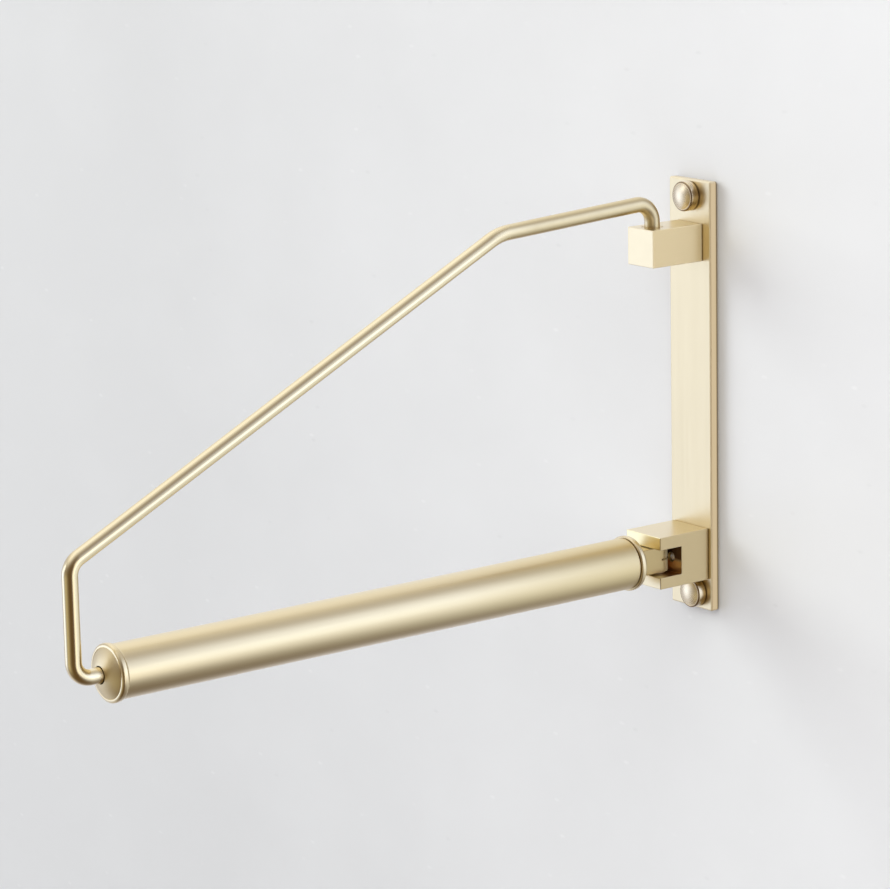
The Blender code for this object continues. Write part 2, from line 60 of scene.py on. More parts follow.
# Fineness of the meshes
RAIL_STEPS = 128
SMALL_STEPS = 64
NOSE_STEPS = 96
ROD_SIDES = 56
BEND_STEPS = 20
EASE_STEPS = 7
BEVEL_STEPS = 4
MERGE = 0.002 * MM
SMOOTH_ANGLE = math.radians(32)

# Clearances between seated and sliding pieces
SEAT_GAP = 0.2 * MM
SLIDE_GAP = 0.2 * MM

# Eased edges, and the width of the painted contact shadow line around the plate's back
PLATE_EASE = 0.9 * MM
PLATE_BACK_EASE = 1.4 * MM
PLATE_BACK_LINE = 1.9 * MM
BLOCK_EASE = 0.4 * MM
TONGUE_EASE = 0.3 * MM

# Screws: radius of the shank, radius of the head, distance from the middle line
UPPER_SCREW = {"shank": 2.0 * MM, "head": 3.5 * MM, "spread": 5.0 * MM}
CLEVIS_SCREW = {"shank": 2.5 * MM, "head": 4.2 * MM, "spread": 5.0 * MM}
SCREW_HEAD_HEIGHT = 2.4 * MM
SCREW_EDGE = 0.25 * MM
SCREW_TIP_DOME = 1.6 * MM
SOCKET_SHARE = 0.5
SOCKET_DEPTH = 1.4 * MM
WALL_SCREW_HOLE = 2.4 * MM

# Bores, and how far a cutter goes through the plate or past the back of the slot
PLATE_REACH = 12.0 * MM
SLOT_REACH = 2.0 * MM
BUSH_BORE = 5.7 * MM
BUSH_GAP = 0.08 * MM
UPPER_FLOOR = 3.4 * MM
BORE_EASE = 0.25 * MM
JAW_BORE = 4.0 * MM
JAW_BORE_RISE = 4.0 * MM
SLOT_BACK = 7.1 * MM
SLOT_LOW = -7.7 * MM
SLOT_HIGH = 7.1 * MM
PIN_HOLE = 2.7 * MM
BOLT_HOLE = 3.2 * MM
BOLT_HOLE_START = 6.1 * MM
SLIT_HALF = 0.55 * MM
SLIT_END = -0.9 * MM

# Rail: distances are out from the swivel axis
TUBE_RADIUS = 13.5 * MM
TUBE_WALL = 1.5 * MM
TUBE_START = 21.0 * MM
TUBE_END = 336.0 * MM
TUBE_EASE = 0.3 * MM
INNER_FACE = 17.0 * MM
LIP_PLANE = 340.0 * MM
BEAD_RADIUS = 14.5 * MM
BEAD_EASE = 1.4 * MM
BEAD_BACK_EASE = 0.7 * MM
NECK_RADIUS = 13.0 * MM
GROOVE = 0.5 * MM
FACE_RADIUS = 12.4 * MM
FACE_CREASE = 0.15 * MM
FLANGE = 4.0 * MM
SPIGOT_RADIUS = 11.8 * MM
SPIGOT_BORE = 9.5 * MM
SPIGOT_LENGTH = 10.0 * MM
WEB = 6.0 * MM
DOME_RISE = 4.4 * MM
ROD_HOLE = 4.5 * MM
DOME_STEPS = 20

# Brace rod. Corners as (out from the swivel axis, height over the rail's middle line), and the radii of the
# bends, are in millimetres
ROD_RADIUS = 4.0 * MM
ROD_CORNERS = ((0.0, 159.0), (0.0, 188.2), (100.5, 182.5), (358.0, 56.0), (358.0, 0.0), (305.2, 0.0))
ROD_BENDS = (10.0, 30.0, 9.0, 9.0)

# Screw caps: a straight side, a rounded shoulder, a fine crease and a domed face
CAP_RADIUS = 7.8 * MM
CAP_HEIGHT = 6.8 * MM
CAP_SIDE = 5.3 * MM
CAP_SHOULDER = 0.8 * MM
CAP_FACE = 6.8 * MM
CAP_CREASE = 0.08 * MM
CAP_WALL = 1.0 * MM
CAP_ROOF = 1.5 * MM


# Modelling


def deselect():
    """Leave nothing selected, so that an operator acts on the new piece alone."""
    bpy.ops.object.select_all(action="DESELECT")


def pick(piece):
    deselect()
    piece.select_set(True)
    bpy.context.view_layer.objects.active = piece


def settle(piece):
    """Put the piece's place, turn and scale into its mesh."""
    pick(piece)
    bpy.ops.object.transform_apply(location=True, rotation=True, scale=True)


def clean_mesh():
    """In edit mode: merge doubles and turn all faces outwards."""
    bpy.ops.mesh.select_all(action="SELECT")
    bpy.ops.mesh.remove_doubles(threshold=MERGE)
    bpy.ops.mesh.normals_make_consistent(inside=False)


def select_faces(piece, chosen):
    """In edit mode: select the faces for which chosen is true, and nothing else."""
    bpy.ops.mesh.select_mode(type="FACE")
    bpy.ops.mesh.select_all(action="DESELECT")
    mesh = bmesh.from_edit_mesh(piece.data)
    for face in mesh.faces:
        if chosen(face):
            face.select_set(True)
    bmesh.update_edit_mesh(piece.data)


def add_block(name, low, high):
    """A box between two corners."""
    deselect()
    bpy.ops.mesh.primitive_cube_add(size=1.0, location=(low + high) / 2)
    piece = bpy.context.object
    piece.name = name
    piece.scale = high - low
    settle(piece)
    return piece


def add_turned(name, start, along, profile, steps=SMALL_STEPS):
    """Draw a profile of (radius, distance) points and spin it about the line from start along a direction."""
    points = [start + RIGHT * radius + along * distance for radius, distance in profile]
    deselect()
    bpy.ops.mesh.primitive_plane_add(size=MM, location=points[0])
    piece = bpy.context.object
    piece.name = name
    bpy.ops.object.mode_set(mode="EDIT")
    bpy.ops.mesh.select_mode(type="VERT")
    bpy.ops.mesh.select_all(action="SELECT")
    bpy.ops.mesh.merge(type="CENTER")
    for before, after in zip(points, points[1:]):
        bpy.ops.mesh.extrude_vertices_move(TRANSFORM_OT_translate={"value": after - before})
    bpy.ops.mesh.select_all(action="SELECT")
    bpy.ops.mesh.spin(steps=steps, angle=math.tau, center=start, axis=along)
    clean_mesh()
    bpy.ops.object.mode_set(mode="OBJECT")
    settle(piece)
    return piece


def eased(corners):
    """Round the corners of a profile. A corner is (radius, distance) or (radius, distance, ease)."""
    flat = [Vector((corner[0], corner[1], 0.0)) for corner in corners]
    points = []
    for number, corner in enumerate(corners):
        here = flat[number]
        if len(corner) < 3:
            points.append((here.x, here.y))
            continue
        before = (flat[number - 1] - here).normalized()
        after = (flat[number + 1] - here).normalized()
        half = before.angle(after) / 2
        inward = (before + after).normalized()
        middle = here + inward * corner[2] / math.sin(half)
        start = (before / math.tan(half) - inward / math.sin(half)).normalized()
        end = (after / math.tan(half) - inward / math.sin(half)).normalized()
        for step in range(EASE_STEPS + 1):
            point = middle + start.slerp(end, step / EASE_STEPS) * corner[2]
            points.append((point.x, point.y))
    return points


def dome(edge_radius, rise, from_radius, to_radius, base):
    """Profile points over a spherical dome, from one radius to another."""
    sphere = (edge_radius ** 2 + rise ** 2) / (2 * rise)
    radii = [from_radius + (to_radius - from_radius) * step / DOME_STEPS for step in range(DOME_STEPS + 1)]
    return [(radius, base + math.sqrt(sphere ** 2 - radius ** 2) - (sphere - rise)) for radius in radii]


def copy_of(piece, name, shift):
    """A copy with its own mesh, moved by a shift."""
    pick(piece)
    bpy.ops.object.duplicate(linked=False)
    twin = bpy.context.object
    twin.name = name
    twin.location = shift
    settle(twin)
    return twin


def apply_modifier(piece, kind, settings):
    pick(piece)
    bpy.ops.object.modifier_add(type=kind)
    modifier = piece.modifiers[-1]
    for name, value in settings.items():
        setattr(modifier, name, value)
    bpy.ops.object.modifier_apply(modifier=modifier.name)


def cut(piece, cutter):
    """Take a cutter's shape out of a piece."""
    apply_modifier(piece, "BOOLEAN", {"operation": "DIFFERENCE", "solver": "EXACT", "object": cutter})
    bpy.data.objects.remove(cutter, do_unlink=True)


def ease_edges(piece, width):
    apply_modifier(piece, "BEVEL", {"width": width, "segments": BEVEL_STEPS, "limit_method": "ANGLE",
                                    "angle_limit": SMOOTH_ANGLE, "harden_normals": False})


def smooth(piece, flat_faces=False):
    """Shade smooth between sharp edges. On a piece with flat faces, these keep their own normals."""
    pick(piece)
    bpy.ops.object.shade_smooth_by_angle(angle=SMOOTH_ANGLE)
    if flat_faces:
        apply_modifier(piece, "WEIGHTED_NORMAL", {"mode": "FACE_AREA", "weight": 100, "keep_sharp": True})


def drill(name, start, along, radius, depth, mouth=0.0):
    """A cutter for a round hole with an eased mouth, which starts outside the face."""
    past = radius
    rim = [(0.0, -past), (radius, -past)]
    if mouth:
        rim = [(0.0, -past), (radius + mouth, -past), (radius + mouth, 0.0), (radius, mouth)]
    return add_turned(name, start, along, rim + [(radius, depth), (0.0, depth)])


def finish(piece, body, material, slot, *nodes):
    piece.data.materials.clear()
    piece.data.materials.append(material)
    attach(piece, body)
    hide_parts(*nodes)


# Finishes


class Wire:
    """An output in a material's nodes, so that shader maths reads as arithmetic."""

    def __init__(self, socket):
        self.socket = socket
        self.tree = socket.id_data

    def make(self, kind, settings=None, inputs=None, output=0):
        """Add a node with its settings, then the values or links of its sockets."""
        node = self.tree.nodes.new(kind)
        for name, value in (settings or {}).items():
            setattr(node, name, value)
        for key, value in (inputs or {}).items():
            if isinstance(value, Wire):
                self.tree.links.new(value.socket, node.inputs[key])
            else:
                node.inputs[key].default_value = value
        return Wire(node.outputs[output])

    def maths(self, operation, *values):
        return self.make("ShaderNodeMath", {"operation": operation}, dict(enumerate(values)))

    def __add__(self, other):
        return self.maths("ADD", self, other)

    __radd__ = __add__

    def __sub__(self, other):
        return self.maths("SUBTRACT", self, other)

    def __rsub__(self, other):
        return self.maths("SUBTRACT", other, self)

    def __mul__(self, other):
        return self.maths("MULTIPLY", self, other)

    __rmul__ = __mul__

    def __rpow__(self, other):
        return self.maths("POWER", other, self)

    def feed(self, node, name):
        self.tree.links.new(self.socket, node.inputs[name])


def new_finish(name, metallic):
    """A material with its shader and the wire of its object coordinates."""
    material = bpy.data.materials.new(name)
    material.use_nodes = True
    shader = material.node_tree.nodes["Principled BSDF"]
    shader.inputs["Metallic"].default_value = metallic
    place = Wire(material.node_tree.nodes.new("ShaderNodeTexCoord").outputs["Object"])
    return material, shader, place


def noise(place, scale, stretch=(1.0, 1.0, 1.0), detail=3.0):
    """Noise between 0 and 1. Stretch divides its scale along each axis."""
    spread = tuple(scale / reach for reach in stretch)
    mapped = place.make("ShaderNodeMapping", None, {"Vector": place, "Scale": spread})
    return mapped.make("ShaderNodeTexNoise", None, {"Vector": mapped, "Scale": 1.0, "Detail": detail})


def blend(factor, first, second):
    """Mix two colours by a factor between 0 and 1."""
    return factor.make("ShaderNodeMix", {"data_type": "RGBA"},
                       {0: factor, 6: (*first, 1.0), 7: (*second, 1.0)}, 2)


def bump(shader, height, strength, distance):
    height.make("ShaderNodeBump", None, {"Height": height, "Strength": strength, "Distance": distance},
                "Normal").feed(shader, "Normal")


def axes(place):
    """The three coordinates of a place."""
    return [place.make("ShaderNodeSeparateXYZ", None, {0: place}, axis) for axis in range(3)]


BRASS_DEEP = (0.83, 0.70, 0.425)
BRASS_PALE = (0.89, 0.77, 0.49)
PLATE_DEEP = (0.79, 0.66, 0.395)
PLATE_PALE = (0.85, 0.73, 0.455)
# Painted reflection and shade on the left and right faces of each piece
PLATE_SIDE_TONE = (0.89, 0.80, 0.71)
BLOCK_SIDE_TONE = (1.02, 0.98, 0.93)
CLEVIS_SIDE_TONE = (0.72, 0.67, 0.57)
TONGUE_SIDE_TONE = (0.63, 0.565, 0.42)
# A paler copy of the brass for the rod: painted light that brightens its highlights
ROD_DEEP = (0.88, 0.75, 0.47)
ROD_PALE = (0.93, 0.82, 0.54)
# Paler edges: painted highlight, with rubbed wear
EDGE_TONE = (1.06, 1.10, 1.25)
# Painted shade line down the clevis's front corners
EDGE_DARK = (0.32, 0.25, 0.18)
# Painted contact shadow along the plate's back edge
BACK_DARK = (0.28, 0.23, 0.19)
# Painted shade and reflection deep in the clevis slot: dark above, warm below, darker at the floor
SLOT_DARK = (0.16, 0.10, 0.08)
SLOT_WARM = (0.92, 0.67, 0.47)
SLOT_FLOOR = (0.47, 0.42, 0.39)
# Painted highlight on the tongue's nose
NOSE_TONE = (1.12, 1.12, 1.12)
# Painted reflection on the upper jaw's front
JAW_TONE = (1.18, 1.18, 1.08)
SOCKET_DARK = (0.22, 0.22, 0.23)
# Painted reflection near the wall: a dimmer rod and a warmer rail
ROD_RUN_TONE = (0.90, 0.88, 0.82)
RAIL_RUN_TONE = (1.0, 0.98, 0.89)
# Painted shade at the bottom of the groove by the rail's ends
GROOVE_DARK = (0.52, 0.44, 0.34)
NICKEL_DARK = (0.79, 0.655, 0.43)
NICKEL_PALE = (0.91, 0.79, 0.53)
# Painted shade on the caps' shoulders and feet
CAP_PAINTED_SHADE = (0.36, 0.29, 0.22)
STEEL_DARK = (0.64, 0.615, 0.575)
STEEL_PALE = (0.82, 0.79, 0.74)
BRONZE_DARK = (0.74, 0.60, 0.35)
BRONZE_PALE = (0.84, 0.70, 0.42)


def tinted(colour, where, tone):
    """Multiply a colour by a tone where a mask is 1."""
    return colour.make("ShaderNodeMix", {"data_type": "RGBA", "blend_type": "MULTIPLY"},
                       {0: where, 6: colour, 7: (*tone, 1.0)}, 2)


def between(value, start, end):
    """Mask that goes from 0 to 1 between two values."""
    return value.make("ShaderNodeMapRange", None, {0: value, 1: start, 2: end})


def apart(value, middle):
    """Distance of a value from a middle."""
    return value.maths("ABSOLUTE", value - middle)


def both_near(first, second, ease):
    """Mask of an eased edge, where the distances to its two faces are both small."""
    return between(first.maths("MAXIMUM", first, second), ease, 0.5 * ease)


# Marks on a finish: each gives a mask, a tone, how much matter the metal is there, and how bare of mirror


def painted_side_reflection(half, tone, bare):
    """A deeper tone on the left and right faces: painted reflection and shade."""
    return lambda x, y, z: (between(apart(x, 0.0), half - 0.5 * MM, half - 0.1 * MM), tone, 0.0, bare)


def highlit_worn_edges(low, high, ease, bare):
    """Paler, matter metal along the eased edges of a block: a painted highlight, with rubbed wear."""
    def mark(x, y, z):
        a, b, c = ((top - bottom) / 2 - apart(value, (top + bottom) / 2)
                   for value, bottom, top in zip((x, y, z), low, high))
        middle = a.maths("MAXIMUM", a.maths("MINIMUM", a, b), a.maths("MINIMUM", a.maths("MAXIMUM", a, b), c))
        return between(middle, ease, 0.5 * ease), EDGE_TONE, 0.12, bare
    return mark


def highlit_worn_ends(low, high, ease):
    """A paler line around both ends of the rail: a painted highlight, with rubbed wear."""
    def mark(x, y, z):
        end = (high.y - low.y) / 2 - apart(y, (high.y + low.y) / 2)
        return between(end, 1.4 * ease, ease), EDGE_TONE, 0.12, 0.5
    return mark


def dark_back(low, high, ease, width):
    """A dark line around the plate's back edge, close to the wall: a painted contact shadow."""
    def mark(x, y, z):
        inward = x.maths("MINIMUM", high.x - apart(x, 0.0), high.z - apart(z, 0.0))
        return between(inward, ease, 0.6 * ease) * between(y, -width, -0.5 * width), BACK_DARK, 0.2, 0.0
    return mark


def dark_sockets(start, end):
    """Shade in the hex sockets of the screws."""
    def mark(x, y, z):
        return between(y, start, end) * between(y, -SCREW_HEAD_HEIGHT, end), SOCKET_DARK, 0.0, 0.0
    return mark


def bright_jaw(front):
    """A brighter front on the upper jaw of the clevis: a painted reflection."""
    def mark(x, y, z):
        face = between(apart(y, front), 0.4 * MM, 0.2 * MM)
        return face * between(z, SWIVEL.z, SWIVEL.z + SLOT_HIGH), JAW_TONE, 0.0, 0.0
    return mark


def dark_corners(half, front, ease):
    """A dark line down the front corners of the clevis: painted shade."""
    return lambda x, y, z: (both_near(half - apart(x, 0.0), apart(y, front), ease), EDGE_DARK, 0.0, 0.0)


def slot_gap(y, z):
    """Distance out of the clevis slot, or below 0 inside it."""
    rise = apart(z, SWIVEL.z + (SLOT_HIGH + SLOT_LOW) / 2) - (SLOT_HIGH - SLOT_LOW) / 2
    return rise.maths("MAXIMUM", rise, y - (SWIVEL.y + SLOT_BACK))


def slot_edges(half, ease):
    """Paler metal along the edges of the slot, at the left and right faces of the clevis: a painted
    highlight, with rubbed wear.
    """
    return lambda x, y, z: (both_near(half - apart(x, 0.0), slot_gap(y, z), ease), EDGE_TONE, 0.12, 0.5)


def slot_walls(half, front, tone, start, end):
    """A tone deep in the clevis slot, which comes in between two heights over the swivel's middle: painted
    shade and painted reflection.
    """
    def mark(x, y, z):
        walls = between(slot_gap(y, z), 0.15 * MM, 0.05 * MM)
        inside = between(half - apart(x, 0.0), 0.3 * MM, 0.6 * MM)
        deep = between(y, front + 3.0 * MM, SWIVEL.y)
        return walls * inside * deep * between(z - SWIVEL.z, start, end), tone, 0.0, 0.0
    return mark


def wall_end(start, end, tone, matter, bare=0.0):
    """A tone of its own, matter and barer of mirror, on the end towards the wall. The tone is painted light
    and shade.
    """
    return lambda x, y, z: (between(y, start, end), tone, matter, bare)


# Noise scales of the grain, per metre, and the depth of the grain
STREAKS = 3200.0
BANDS = 420.0
CLOUDS = 22.0
TURNING = 5200.0
TURNED_CLOUDS = 60.0
GRAIN_DEPTH = 0.02 * MM


def brushed_metal(name, roughness, stretch, grain=0.35, tones=(BRASS_DEEP, BRASS_PALE), marks=(),
                  metallic=1.0):
    """Satin metal with a fine grain that runs along the stretched axis, and with marks: painted light and
    shade, some with wear.
    """
    material, shader, place = new_finish(name, metallic)
    streaks = noise(place, STREAKS, stretch, 2.0)
    bands = noise(place, BANDS, stretch, 3.0)
    clouds = noise(place, CLOUDS)
    colour = blend(0.25 * streaks + 0.35 * bands + 0.4 * clouds, *tones)
    rough = roughness + 0.10 * (streaks - 0.5) + 0.08 * (bands - 0.5) + 0.05 * (clouds - 0.5)
    mirror = metallic
    x, y, z = axes(place)
    for mark in marks:
        where, tone, matter, bare = mark(x, y, z)
        colour = tinted(colour, where, tone)
        rough = rough + matter * where if matter else rough
        mirror = mirror - bare * where if bare else mirror
    colour.feed(shader, "Base Color")
    rough.feed(shader, "Roughness")
    if isinstance(mirror, Wire):
        mirror.feed(shader, "Metallic")
    bump(shader, streaks + 0.5 * bands, grain, GRAIN_DEPTH)
    return material


def turned_metal(name, tones, roughness, centre, grain=0.3, cap_shade_tone=None, groove=None):
    """Satin metal with fine turning marks around a line that goes out from the wall.

    With a shade tone, the shoulder and the foot of a screw cap are darkened: painted shade. On the rail's
    ends, the groove at a distance from the wall has painted shade at its bottom and the beads are glossier.
    """
    material, shader, place = new_finish(name, 1.0)
    offset = place.make("ShaderNodeVectorMath", {"operation": "SUBTRACT"}, {0: place, 1: centre})
    across = offset.make("ShaderNodeVectorMath", {"operation": "MULTIPLY"}, {0: offset, 1: (1.0, 0.0, 1.0)})
    radius = across.make("ShaderNodeVectorMath", {"operation": "LENGTH"}, {0: across}, "Value")
    depth = offset.make("ShaderNodeSeparateXYZ", None, {0: offset}, "Y")
    marks = radius.make("ShaderNodeTexNoise", {"noise_dimensions": "1D"},
                        {"W": radius + 0.7 * depth, "Scale": TURNING, "Detail": 2.0})
    clouds = noise(place, TURNED_CLOUDS)
    colour = blend(0.45 * marks + 0.55 * clouds, *tones)
    rough = roughness + 0.10 * (marks - 0.5) + 0.06 * (clouds - 0.5)
    # Painted shade on the cap's shoulder by its face, and at its foot against the plate
    if cap_shade_tone:
        shoulder = (between(depth, 0.6 * MM - CAP_SIDE, 0.3 * MM - CAP_SIDE)
                    * between(radius, CAP_FACE, CAP_FACE + 0.25 * MM))
        foot = between(depth, -1.0 * MM, -0.3 * MM)
        colour = tinted(colour, shoulder.maths("MAXIMUM", shoulder, foot), cap_shade_tone)
    # Painted shade at the bottom of the groove; glossier beads
    if groove:
        bottom = between(apart(depth, groove), 0.7 * MM, 0.5 * MM) * between(radius, BEAD_RADIUS, NECK_RADIUS)
        colour = tinted(colour, bottom, GROOVE_DARK)
        rough = rough - 0.14 * between(radius, FACE_RADIUS, FACE_RADIUS + 2 * FACE_CREASE)
    colour.feed(shader, "Base Color")
    rough.feed(shader, "Roughness")
    bump(shader, marks, grain, GRAIN_DEPTH)
    return material


def block_marks(node, ease, tone, side_bare=0.0, edge_bare=0.4):
    """Marks of a block: painted reflection and shade on the side faces, and paler edges of painted highlight
    and wear, each with its share that is bare of mirror.
    """
    low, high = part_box(node)
    return painted_side_reflection(high.x, tone, side_bare), highlit_worn_edges(low, high, ease, edge_bare)


# How the grain is stretched, along each axis
PLATE_GRAIN = (1.0, 1.0, 60.0)
BLOCK_GRAIN = (1.0, 40.0, 1.0)
RAIL_GRAIN = (1.0, 60.0, 1.0)
ROD_GRAIN = (1.0, 12.0, 12.0)
SCREW_GRAIN = (1.0, 20.0, 1.0)
EVEN_GRAIN = (1.0, 1.0, 1.0)

# Where the satin of the rail and the rod turns matter towards the wall, with a painted tone of dimmer, warmer
# reflection: start and end along Y
RAIL_RUN = (-0.17, -0.06)
ROD_RUN = (-0.15, -0.11)

CLEVIS_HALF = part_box("lower_clevis")[1].x
CLEVIS_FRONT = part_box("lower_clevis")[0].y

plate_brass = brushed_metal(
    "plate_brass", 0.36, PLATE_GRAIN, tones=(PLATE_DEEP, PLATE_PALE),
    marks=(*block_marks("wall_plate", PLATE_EASE, PLATE_SIDE_TONE, edge_bare=0.5),
           dark_back(*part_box("wall_plate"), PLATE_BACK_EASE, PLATE_BACK_LINE)))
block_brass = brushed_metal(
    "block_brass", 0.33, BLOCK_GRAIN, 0.2,
    marks=block_marks("upper_block", BLOCK_EASE, BLOCK_SIDE_TONE, 0.9))
clevis_brass = brushed_metal(
    "clevis_brass", 0.33, BLOCK_GRAIN, 0.2,
    marks=(*block_marks("lower_clevis", BLOCK_EASE, CLEVIS_SIDE_TONE, 0.45),
           slot_edges(CLEVIS_HALF, BLOCK_EASE), bright_jaw(CLEVIS_FRONT),
           dark_corners(CLEVIS_HALF, CLEVIS_FRONT, BLOCK_EASE),
           # Painted shade and reflection in the slot: dark in the upper part, warm below, darker at the floor
           slot_walls(CLEVIS_HALF, CLEVIS_FRONT, SLOT_DARK, -2.0 * MM, 0.0),
           slot_walls(CLEVIS_HALF, CLEVIS_FRONT, SLOT_WARM, 0.0, -2.0 * MM),
           slot_walls(CLEVIS_HALF, CLEVIS_FRONT, SLOT_FLOOR, SLOT_LOW + 0.6 * MM, SLOT_LOW + 0.3 * MM)))
tongue_brass = brushed_metal(
    "tongue_brass", 0.33, BLOCK_GRAIN, 0.2,
    marks=(*block_marks("swivel_tongue", TONGUE_EASE, TONGUE_SIDE_TONE),
           # The tongue's nose: a painted highlight, with matter metal barer of mirror
           wall_end(SWIVEL.y, SWIVEL.y + 1.0 * MM, NOSE_TONE, 0.15, 0.75)))
rail_brass = brushed_metal(
    "rail_brass", 0.31, RAIL_GRAIN, 0.3,
    marks=(wall_end(*RAIL_RUN, RAIL_RUN_TONE, 0.10), highlit_worn_ends(*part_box("rail_tube"), TUBE_EASE)))
rod_brass = brushed_metal(
    "rod_brass", 0.18, ROD_GRAIN, 0.1, (ROD_DEEP, ROD_PALE), (wall_end(*ROD_RUN, ROD_RUN_TONE, 0.18),))
inner_brass = brushed_metal("inner_brass", 0.33, BLOCK_GRAIN, 0.2)
cap_brass = turned_metal("cap_brass", (BRASS_DEEP, BRASS_PALE), 0.42, (SWIVEL.x, 0.0, SWIVEL.z),
                         groove=SWIVEL.y - INNER_FACE - FLANGE)
bearing_bronze = brushed_metal("bearing_bronze", 0.42, EVEN_GRAIN, tones=(BRONZE_DARK, BRONZE_PALE))
screw_steel = brushed_metal("screw_steel", 0.22, SCREW_GRAIN, 0.15, (STEEL_DARK, STEEL_PALE),
                            (dark_sockets(-0.4 * MM, -0.9 * MM),), 0.7)


# Wall bracket


def make_plate():
    low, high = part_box("wall_plate")
    plate = add_block("plate", low, high)
    bpy.ops.object.mode_set(mode="EDIT")
    select_faces(plate, lambda face: face.calc_center_median().y > high.y - MERGE)
    bpy.ops.mesh.bevel(offset=PLATE_BACK_EASE, segments=BEVEL_STEPS, affect="EDGES")
    bpy.ops.object.mode_set(mode="OBJECT")
    ease_edges(plate, PLATE_EASE)
    into = Vector((0.0, high.y, 0.0))
    for cap in ("upper_screw_cap", "lower_screw_cap"):
        cap_low, cap_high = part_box(cap)
        middle = (cap_low + cap_high) / 2
        cut(plate, drill("hole", into + RIGHT * middle.x + UP * middle.z, OUT, WALL_SCREW_HOLE, PLATE_REACH))
    rows = ((UPPER_SCREW, "upper_block_screw_1"), (CLEVIS_SCREW, "clevis_screw_1"))
    for screw, node in rows:
        screw_low, screw_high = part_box(node)
        height = (screw_low.z + screw_high.z) / 2
        for side in (-1, 1):
            start = into + RIGHT * side * screw["spread"] + UP * height
            head = screw["head"] + SLIDE_GAP
            cut(plate, drill("recess", start, OUT, head, SCREW_HEAD_HEIGHT + 2 * SEAT_GAP, BORE_EASE))
            cut(plate, drill("hole", start, OUT, screw["shank"] + SLIDE_GAP, PLATE_REACH))
    smooth(plate, flat_faces=True)
    finish(plate, BRACKET, plate_brass, "satin_brass", "wall_plate")


def make_upper_block():
    low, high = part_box("upper_block")
    block = add_block("upper_swivel_block", low, high)
    ease_edges(block, BLOCK_EASE)
    mouth = Vector((SWIVEL.x, SWIVEL.y, high.z))
    cut(block, drill("bore", mouth, -UP, BUSH_BORE, high.z - low.z - UPPER_FLOOR))
    screw_low, screw_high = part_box("upper_block_screw_1")
    height = (screw_low.z + screw_high.z) / 2
    for side in (-1, 1):
        start = Vector((side * UPPER_SCREW["spread"], high.y, height))
        depth = high.y - screw_low.y + SEAT_GAP
        cut(block, drill("hole", start, OUT, UPPER_SCREW["shank"] + SLIDE_GAP, depth))
    smooth(block, flat_faces=True)
    finish(block, BRACKET, block_brass, "satin_brass", "upper_block")

    low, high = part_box("upper_bush")
    outer = BUSH_BORE - BUSH_GAP
    inner = ROD_RADIUS + BUSH_GAP
    length = high.z - low.z
    profile = eased([(inner, 0.0), (outer, 0.0), (outer, length, BUSH_GAP), (inner, length, BUSH_GAP),
                     (inner, 0.0)])
    bush = add_turned("upper_swivel_bush", Vector((SWIVEL.x, SWIVEL.y, low.z)), UP, profile)
    smooth(bush)
    finish(bush, BRACKET, bearing_bronze, "bronze", "upper_bush")


def make_clevis():
    low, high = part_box("lower_clevis")
    clevis = add_block("swivel_clevis", low, high)
    slot_back = SWIVEL.y + SLOT_BACK
    past = high.x - low.x
    slot = add_block("slot", Vector((low.x - past, low.y - past, SWIVEL.z + SLOT_LOW)),
                     Vector((high.x + past, slot_back, SWIVEL.z + SLOT_HIGH)))
    cut(clevis, slot)
    ease_edges(clevis, BLOCK_EASE)
    foot = Vector((SWIVEL.x, SWIVEL.y, low.z))
    bore_top = SWIVEL.z + SLOT_HIGH + JAW_BORE_RISE
    cut(clevis, drill("bore", foot, UP, JAW_BORE, bore_top - low.z, BORE_EASE))
    for side in (-1, 1):
        start = Vector((side * CLEVIS_SCREW["spread"], high.y, SWIVEL.z))
        depth = high.y - slot_back + SLOT_REACH
        cut(clevis, drill("hole", start, OUT, CLEVIS_SCREW["shank"] + SLIDE_GAP, depth))
    smooth(clevis, flat_faces=True)
    finish(clevis, BRACKET, clevis_brass, "satin_brass", "lower_clevis")


def make_screws():
    """Screws that hold the blocks from behind the plate. The lower pair end in domed tips in the slot."""
    for kind, screw, tip in (("upper_block_screw", UPPER_SCREW, SCREW_EDGE),
                             ("clevis_screw", CLEVIS_SCREW, SCREW_TIP_DOME)):
        low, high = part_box(kind + "_1")
        start = Vector(((low.x + high.x) / 2, high.y, (low.z + high.z) / 2))
        length = high.y - low.y
        head = screw["head"]
        shank = screw["shank"]
        profile = eased([(0.0, 0.0), (head, 0.0, SCREW_EDGE), (head, SCREW_HEAD_HEIGHT, SCREW_EDGE),
                         (shank, SCREW_HEAD_HEIGHT)])
        profile += dome(shank, tip, shank, 0.0, length - tip)
        piece = add_turned(kind + "_left", start, OUT, profile)
        deselect()
        bpy.ops.mesh.primitive_cylinder_add(vertices=6, radius=head * SOCKET_SHARE, depth=2 * SOCKET_DEPTH,
                                            location=start, rotation=(math.pi / 2, 0.0, 0.0))
        hex_key = bpy.context.object
        settle(hex_key)
        cut(piece, hex_key)
        smooth(piece)
        twin = copy_of(piece, kind + "_right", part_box(kind + "_2")[0] - low)
        finish(piece, BRACKET, screw_steel, "steel", kind + "_1")
        finish(twin, BRACKET, screw_steel, "steel", kind + "_2")


